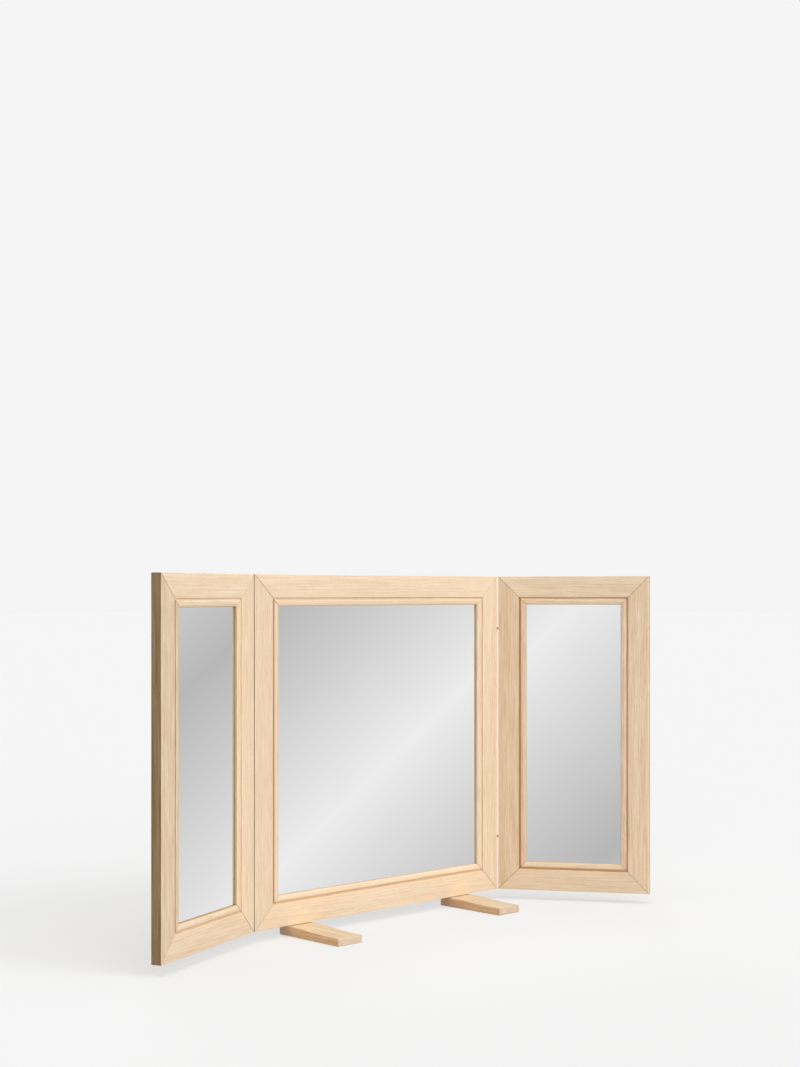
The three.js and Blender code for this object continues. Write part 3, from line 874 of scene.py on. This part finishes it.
def addFoot(node, screwNodes, s):
    low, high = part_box(node)
    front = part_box("centre_bottom_rail")[0].y
    shoulder = high.z - s["shoulderDrop"]
    flatEnd = front - s["flat"]
    seat = front + s["seatInset"]
    outline = [(low.y, 0), (high.y, 0), (high.y, high.z), (seat, high.z), (seat, shoulder)]
    outline += bezierPoints([(flatEnd, shoulder), (flatEnd - s["flatEase"], shoulder),
                             (low.y + s["toeEase"], s["toeHeight"]), (low.y, s["toeHeight"])],
                            s["curveSteps"])
    form = bmesh.new()
    sides = [[form.verts.new((x, y, z)) for y, z in outline] for x in (low.x, high.x)]
    for side in sides:
        form.faces.new(side)
    count = len(outline)
    for i in range(count):
        j = (i + 1) % count
        form.faces.new((sides[0][i], sides[0][j], sides[1][j], sides[1][i]))
    weights = form.edges.layers.float.new("bevel_weight_edge")
    corner = {vertex: i for side in sides for i, vertex in enumerate(side)}
    rounded = {0, 1, 2, count - 1}  # the corners at the sole, the back and the toe
    for edge in form.edges:
        first, second = edge.verts
        alongSide = corner[first] != corner[second]
        isCorner = not alongSide and corner[first] in rounded
        isHidden = max(first.co.y, second.co.y) > seat - s["arris"] and not isCorner
        weight = s["hiddenArrisShare"] if isHidden else 1.0
        edge[weights] = weight if alongSide or isCorner else 0.0
    piece = newPiece(camelName(node), form)
    bevel = piece.modifiers.new("arris", "BEVEL")
    bevel.limit_method = "WEIGHT"
    bevel.width = s["arris"]
    bevel.segments = s["arrisSteps"]
    bevel.use_clamp_overlap = False
    bores = bmesh.new()
    rim = s["screwSink"] + s["headRim"]
    neck = rim + s["headCone"]
    for screw in screwNodes:
        screwLow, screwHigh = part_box(screw)
        middle = (screwLow + screwHigh) / 2
        addTurned(bores, [(0, -s["cutOverrun"]), (s["headRadius"], -s["cutOverrun"]),
                          (s["headRadius"], rim), (s["shankRadius"], neck),
                          (s["shankRadius"], high.z + s["cutOverrun"]), (0, high.z + s["cutOverrun"])],
                  s["boreSides"], Matrix.Translation((middle.x, middle.y, 0)))
    mesh = makePlain(piece, [addBoolean(piece, "DIFFERENCE", bores)], s["smoothBelow"], footOak)
    middleX = (low.x + high.x) / 2
    heartX, heartZ = s["heart"]
    # the grain runs from front to back
    storeVectors(mesh, "timber", [(x - middleX + heartX, z + heartZ, y + s["logShift"] * middleX)
                                  for x, y, z in (vertex.co for vertex in mesh.vertices)])
    storeVectors(mesh, "facing", [[abs(part) for part in face.normal] for face in mesh.polygons], "FACE")
    settle(piece, "centre_frame", [node])


footScrewNodes = {side: [f"{side}_foot_screw_{i}" for i in (1, 2)] for side in ("left", "right")}
for side, screwNodes in footScrewNodes.items():
    addFoot(side + "_foot", screwNodes, footSettings)
print("feet shaped")


# Hinges: ribbed barrels in both stiles, and a pair of crossing links in each

hingeSettings = {
    "cupRadius": 0.006,
    "rimRound": 0.0004,
    "rimSteps": 3,
    "ribCount": 7,
    "ribDepth": 0.00025,
    "ribWidth": 0.0009,
    "slotHeight": 0.0049,
    "slotDepth": 0.0133,
    "pinInset": 0.003,  # from a cup's face to its pin
    "pinForward": 0.001,  # from a cup's middle towards the fold line
    "pinRadius": 0.0012,
    "pinHoleRadius": 0.0015,
    "pinEndInset": 0.0012,
    "linkGap": 0.00015,  # from the hinge's level to each link
    "linkThickness": 0.002,
    "linkHalfWidth": 0.001,
    "eyeRadius": 0.002,
    "barSetback": 0.0043,
    "cupSides": 64,
    "smallSides": 32,
    "cutOverrun": 0.001,
    "smoothBelow": 35,
}


def cupProfile(length, s):  # a ribbed barrel with rounded rims, from its open face to its end
    rim = s["rimRound"]
    points = [(0, 0)]
    points += [(s["cupRadius"] - rim + x, rim - y)
               for y, x in arcPoints((0, 0), (rim, rim), 0, 90, s["rimSteps"])]
    plainEnd = s["slotDepth"] / 3
    pitch = (length - 2 * plainEnd) / s["ribCount"]
    for i in range(s["ribCount"]):
        start = plainEnd + i * pitch
        points += [(s["cupRadius"], start), (s["cupRadius"] - s["ribDepth"], start + s["ribWidth"] / 2),
                   (s["cupRadius"], start + s["ribWidth"])]
    points += [(s["cupRadius"], length - rim), (s["cupRadius"] - rim, length), (0, length)]
    return points


# side is 1 or -1, where the stile lies in x, and rise is 1 or -1, where the pin goes in z
def addCup(node, body, place, side, rise, length, s):
    form = bmesh.new()
    turnIn = Matrix.Rotation(radians(90 * side), 4, "Y")
    addTurned(form, cupProfile(length, s), s["cupSides"], turnIn)
    piece = newPiece(camelName(node), form)
    cut = bmesh.new()
    wide = s["cupRadius"] + s["cutOverrun"]
    ends = sorted((-side * s["cutOverrun"], side * s["slotDepth"]))
    addBox(cut, (ends[0], -wide, -s["slotHeight"] / 2), (ends[1], wide, s["slotHeight"] / 2))
    hole = Matrix.Translation((side * s["pinInset"], -s["pinForward"], rise * s["cutOverrun"]))
    turnUp = Matrix.Identity(4) if rise > 0 else Matrix.Rotation(pi, 4, "X")
    addRod(cut, s["pinHoleRadius"], wide, s["smallSides"], hole @ turnUp)
    finishHinge(piece, [addBoolean(piece, "DIFFERENCE", cut)], place, body, node, s)


def addLink(node, body, place, side, rise, reach, s):  # from its own pin at the origin
    low, high = sorted((rise * s["linkGap"], rise * (s["linkGap"] + s["linkThickness"])))
    half, back = s["linkHalfWidth"], s["barSetback"]
    front, far, near = back - half, -reach - half, half - reach
    back += half
    foot, head = sorted((rise * s["linkGap"], rise * (s["cupRadius"] - s["pinEndInset"])))
    boxes = ((-half, half, 0), (far, half, front), (far, near, 0))
    rods = ((0, s["eyeRadius"], low, high), (-reach, half, low, high), (0, s["pinRadius"], foot, head))
    forms = [bmesh.new() for _ in boxes + rods]
    for form, (firstX, secondX, y) in zip(forms, boxes):
        left, right = sorted((side * firstX, side * secondX))
        addBox(form, (left, y, low), (right, back, high))
    for form, (x, radius, start, end) in zip(forms[len(boxes):], rods):
        addRod(form, radius, end - start, s["smallSides"], Matrix.Translation((side * x, 0, start)))
    piece = newPiece(camelName(node), forms[0])
    tools = [addBoolean(piece, "UNION", form) for form in forms[1:]]
    finishHinge(piece, tools, place, body, node, s)


def finishHinge(piece, tools, place, body, node, s):
    makePlain(piece, tools, s["smoothBelow"], hingeBrass).transform(place)
    settle(piece, body, [node])


def addHinge(wing, side, level, s):  # side is -1 at the centre panel's left end, 1 at its right
    prefix = f"{wing}_{level}_"
    cupLow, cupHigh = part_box(prefix + "frame_cup")
    length = cupHigh.x - cupLow.x
    fold = jointNamed[f"{wing}_wing_fold"]
    turn = foldTurn(fold)
    pin = Vector(jointNamed[f"{wing}_frame_links_turn"]["pos_m"]) - Vector(fold["pos_m"])
    axis = Matrix.Translation((fold["pos_m"][0], fold["pos_m"][1], (cupLow.z + cupHigh.z) / 2))
    wingTurn = Matrix.Rotation(turn, 4, "Z")
    halfTurn = Matrix.Rotation(turn / 2, 4, "Z")
    face = abs(pin.x) - s["pinInset"]
    cupY = pin.y + s["pinForward"]
    frameCup = axis @ Matrix.Translation((-side * face, cupY, 0))
    wingCup = axis @ wingTurn @ Matrix.Translation((side * face, cupY, 0))
    addCup(prefix + "frame_cup", "centre_frame", frameCup, -side, 1, length, s)
    addCup(prefix + "wing_cup", f"{wing}_wing", wingCup, side, -1, length, s)
    frameLink = axis @ Matrix.Translation((-side * abs(pin.x), pin.y, 0)) @ halfTurn
    wingLink = axis @ wingTurn @ Matrix.Translation((side * abs(pin.x), pin.y, 0)) @ halfTurn.inverted()
    reach = 2 * pin.y
    addLink(prefix + "frame_link", f"{wing}_frame_links", frameLink, -side, 1, reach, s)
    addLink(prefix + "wing_link", f"{wing}_wing_links", wingLink, side, -1, reach, s)


for wing, side in (("left", -1), ("right", 1)):
    for level in ("upper", "lower"):
        addHinge(wing, side, level, hingeSettings)
print("hinges built")


# Screws: one is modelled, and a tree sets copies of it at their places, each turned as it was driven

screwSettings = {
    "sides": 32,
    "headSteps": 6,
    "crossWidth": 0.0008,
    "crossLength": 0.0032,
    "crossDepth": 0.0007,
    "crossTaper": 0.6,
    "smoothBelow": 35,
}

boardScrewSettings = {
    **screwSettings, "shankRadius": 0.0012, "tipLength": 0.002, "headRadius": 0.0029, "headHeight": 0.0014,
    "threadPitch": 0.0009, "threadDepth": 0.00022, "seed": 3,
}

footScrewSettings = {
    **screwSettings, "shankRadius": 0.00175, "tipLength": 0.004, "headRadius": 0.0038, "headRim": 0.0006,
    "headCone": 0.0024, "threadPitch": 0.0014, "threadDepth": 0.0003, "seed": 8,
}


def screwProfile(length, s):  # from the tip up to the middle of the head, whose top is at zero
    if "headRim" in s:
        neck = -s["headRim"] - s["headCone"]
        head = [(s["shankRadius"], neck), (s["headRadius"], -s["headRim"]), (s["headRadius"], 0), (0, 0)]
    else:
        neck = -s["headHeight"]
        half, shoulder = s["headRadius"] / 2, s["headHeight"] / 2
        head = [(s["shankRadius"], neck), (s["headRadius"], neck)]
        head += arcPoints((half, -shoulder), (half, shoulder), 0, 90, s["headSteps"])
        head.append((0, 0))
    points = [(0, -length)]
    height = s["tipLength"] - length
    while height + s["threadPitch"] < neck:
        points.append((s["shankRadius"] - s["threadDepth"], height))
        points.append((s["shankRadius"], height + s["threadPitch"] / 2))
        height += s["threadPitch"]
    return points + [(s["shankRadius"] - s["threadDepth"], height)] + head


def addTaperedBlade(form, s, turn):  # narrower at its foot, as a driver's tip is
    half, width, depth, taper = s["crossLength"] / 2, s["crossWidth"] / 2, s["crossDepth"], s["crossTaper"]
    corners = [(-half, -width), (half, -width), (half, width), (-half, width)]
    upper = [form.verts.new(turn @ Vector((x, y, depth))) for x, y in corners]
    lower = [form.verts.new(turn @ Vector((x * taper, y * taper, -depth))) for x, y in corners]
    form.faces.new(upper)
    form.faces.new(lower[::-1])
    for i in range(4):
        j = (i + 1) % 4
        form.faces.new((lower[i], lower[j], upper[j], upper[i]))


def buildScrew(name, length, s):
    form = bmesh.new()
    addTurned(form, screwProfile(length, s), s["sides"], Matrix.Identity(4))
    screw = newPiece(name, form)
    tools = []
    for degrees in (0, 90):
        blade = bmesh.new()
        addTaperedBlade(blade, s, Matrix.Rotation(radians(degrees), 4, "Z"))
        tools.append(addBoolean(screw, "DIFFERENCE", blade))
    makePlain(screw, tools, s["smoothBelow"])
    return screw


def buildScrewSet():
    tree, given, result = newGroup("screwSet", "GeometryNodeTree", {
        "Geometry": "Geometry", "Screw": "Object", "Facing": "Vector", "Seed": "Int", "Material": "Material",
    }, {"Geometry": "Geometry"})
    screw = addNode(tree, "GeometryNodeObjectInfo", {"Object": given["Screw"]}).outputs["Geometry"]
    facing = addNode(tree, "FunctionNodeEulerToRotation", {"Euler": given["Facing"]}).outputs[0]
    placed = addNode(tree, "GeometryNodeInstanceOnPoints", {
        "Points": given["Geometry"], "Instance": screw, "Rotation": facing,
    }).outputs["Instances"]
    drive = addNode(tree, "FunctionNodeRandomValue", {"Seed": given["Seed"]}, {"data_type": "FLOAT"})
    turn = multiply(tree, drive.outputs[1], 2 * pi)
    euler = addNode(tree, "ShaderNodeCombineXYZ", {"Z": turn}).outputs[0]
    twist = addNode(tree, "FunctionNodeEulerToRotation", {"Euler": euler}).outputs[0]
    driven = addNode(tree, "GeometryNodeRotateInstances", {"Instances": placed, "Rotation": twist})
    return endTree(tree, driven.outputs["Instances"], given["Material"], result)


def addScrews(name, nodes, body, place, outward, s, tree):
    # outward is the way the heads face in the frame of place
    headTurn = Vector(outward).to_track_quat("Z", "Y").to_matrix().to_4x4()
    tops = []
    for node in nodes:
        low, high = boxIn(place, [node])
        tops.append((low + high) / 2 + Vector([a * b / 2 for a, b in zip(outward, high - low)]))
    length = abs((high - low).dot(Vector(outward)))
    screw = buildScrew(name + "Model", length, s)
    form = bmesh.new()
    for top in tops:
        form.verts.new(place @ top)
    piece = newPiece(name, form)
    facing = (place.to_3x3().to_4x4() @ headTurn).to_euler()
    runTree(piece, tree, {"Screw": screw, "Facing": facing, "Seed": s["seed"], "Material": screwSteel})
    makePlain(piece, [screw])
    settle(piece, body, nodes)


screwSet = buildScrewSet()
for panelName, panel in panelSettings.items():
    nodes = [node + "_board_screw" for node in panel["nodes"].values()]
    addScrews(camelName(panelName) + "BoardScrews", nodes, panel["body"], panel["place"], (0, 1, 0),
              boardScrewSettings, screwSet)
addScrews("footScrews", footScrewNodes["left"] + footScrewNodes["right"], "centre_frame",
          Matrix.Identity(4), (0, 0, -1), footScrewSettings, screwSet)
print("screws set")


# CAD sheets keep their shape and get a finish

def finishNodes(ending, material):
    for name, node in frame["nodes"].items():
        if name.endswith(ending):
            for slot in node.material_slots:
                slot.material = material


finishNodes("mirror_glass", mirrorSilver)
finishNodes("liner", linerPaper)
finishNodes("back_board", backBoardPly)
print("sheets finished")


# Studio: pale floor and backdrop, four soft lamps, and a room of soft bands for the mirrors

studioSettings = {
    "floorSize": 80,
    "floorShade": 0.400,  # under the lamps, as the camera sees it
    "floorGlow": 0.467,  # a part of the backdrop, so that the shadows stay pale
    "floorBounce": 0.48,  # as it lights the object
    "backdrop": 0.913,
    "ambient": (0.14, 0.14, 0.14, 1),
    "bandsPerTurn": 19,
    "bandLean": -3.145,
    "bandStart": 0.129,
    "bandBright": 0.956,
    "bandDark": 0.738,
    "bandPower": 2.2,
    "rightShift": -0.264,  # of the bands that the left mirror shows
    "rightStart": (-0.7, -0.25),  # in radians from the right, towards the back
    "rightEnd": (0.3, 1.2),
    "leftShift": -0.08,  # of the bands that the right mirror shows
    "leftEnd": (-2.5, -2.1),
}

lampSettings = {  # heading in degrees from the front towards the right, height above the floor
    "keyLamp": {"heading": 28, "height": 36, "softness": 26, "strength": 0.32},
    "fillLamp": {"heading": -24, "height": 20, "softness": 80, "strength": 0.62},
    "topLamp": {"heading": 0, "height": 90, "softness": 70, "strength": 0.50},
    "backLamp": {"heading": 150, "height": 9, "softness": 40, "strength": 0.36},
}


def grey(level):
    return (level, level, level, 1)


def addFloor(s):
    form = bmesh.new()
    bmesh.ops.create_grid(form, x_segments=1, y_segments=1, size=s["floorSize"] / 2)
    floor = newPiece("studioFloor", form)
    material, tree = newMaterial("studioFloor")
    tree.nodes.clear()
    ray = addNode(tree, "ShaderNodeLightPath").outputs
    color = addMix(tree, ray["Is Camera Ray"], grey(s["floorBounce"]), grey(s["floorShade"]))
    surface = addNode(tree, "ShaderNodeBsdfDiffuse", {"Color": color})
    strength = multiply(tree, ray["Is Camera Ray"], s["floorGlow"])
    glow = addNode(tree, "ShaderNodeEmission", {"Strength": strength})
    both = addNode(tree, "ShaderNodeAddShader", {0: surface.outputs[0], 1: glow.outputs[0]})
    addNode(tree, "ShaderNodeOutputMaterial", {"Surface": both.outputs[0]})
    floor.data.materials.append(material)
    floor.visible_glossy = False
    floor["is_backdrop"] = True


def buildRoom(s):
    world = bpy.data.worlds.new("studioRoom")
    scene.world = world
    world.use_nodes = True
    tree = world.node_tree
    tree.nodes.clear()
    x, y, z = splitVector(tree, addNode(tree, "ShaderNodeTexCoord").outputs["Generated"])
    turn = addMath(tree, "ARCTAN2", y, x)
    nearRight = addBand(tree, turn, s["rightStart"], s["rightEnd"])
    nearLeft = addFall(tree, turn, s["leftEnd"])
    phase = sumUp(tree, s["bandStart"], (turn, s["bandsPerTurn"] / (2 * pi)), (z, s["bandLean"]),
                  (nearRight, s["rightShift"]), (nearLeft, s["leftShift"]))
    wave = multiply(tree, addMath(tree, "PINGPONG", phase, 0.5), 2.0)
    share = sumUp(tree, s["bandBright"], (wave, s["bandDark"] - s["bandBright"]))
    bands = addMath(tree, "POWER", share, s["bandPower"])
    ray = addNode(tree, "ShaderNodeLightPath").outputs
    seen = addMath(tree, "MAXIMUM", ray["Is Camera Ray"], ray["Is Transmission Ray"])
    color = addMix(tree, ray["Is Glossy Ray"], s["ambient"], bands)
    color = addMix(tree, seen, color, grey(s["backdrop"]))
    light = addNode(tree, "ShaderNodeBackground", {"Color": color})
    addNode(tree, "ShaderNodeOutputWorld", {"Surface": light.outputs[0]})


def addLamp(name, s):
    heading, height = radians(s["heading"]), radians(s["height"])
    towards = Vector((sin(heading) * cos(height), -cos(heading) * cos(height), sin(height)))
    data = bpy.data.lights.new(name, "SUN")
    data.angle = radians(s["softness"])
    data.energy = s["strength"] * pi
    lamp = addObject(name, data)
    lamp.rotation_euler = towards.to_track_quat("Z", "Y").to_euler()
    lamp.visible_glossy = False


addFloor(studioSettings)
buildRoom(studioSettings)
for lampName, lamp in lampSettings.items():
    addLamp(lampName, lamp)
scene.view_settings.view_transform = "Standard"

# In the photograph the mirrors show only a clear gradient, so the pieces that would cross it stay out
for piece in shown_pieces():
    if piece.name.startswith(("right", "leftFoot")):
        piece.visible_glossy = False
print("studio lit")
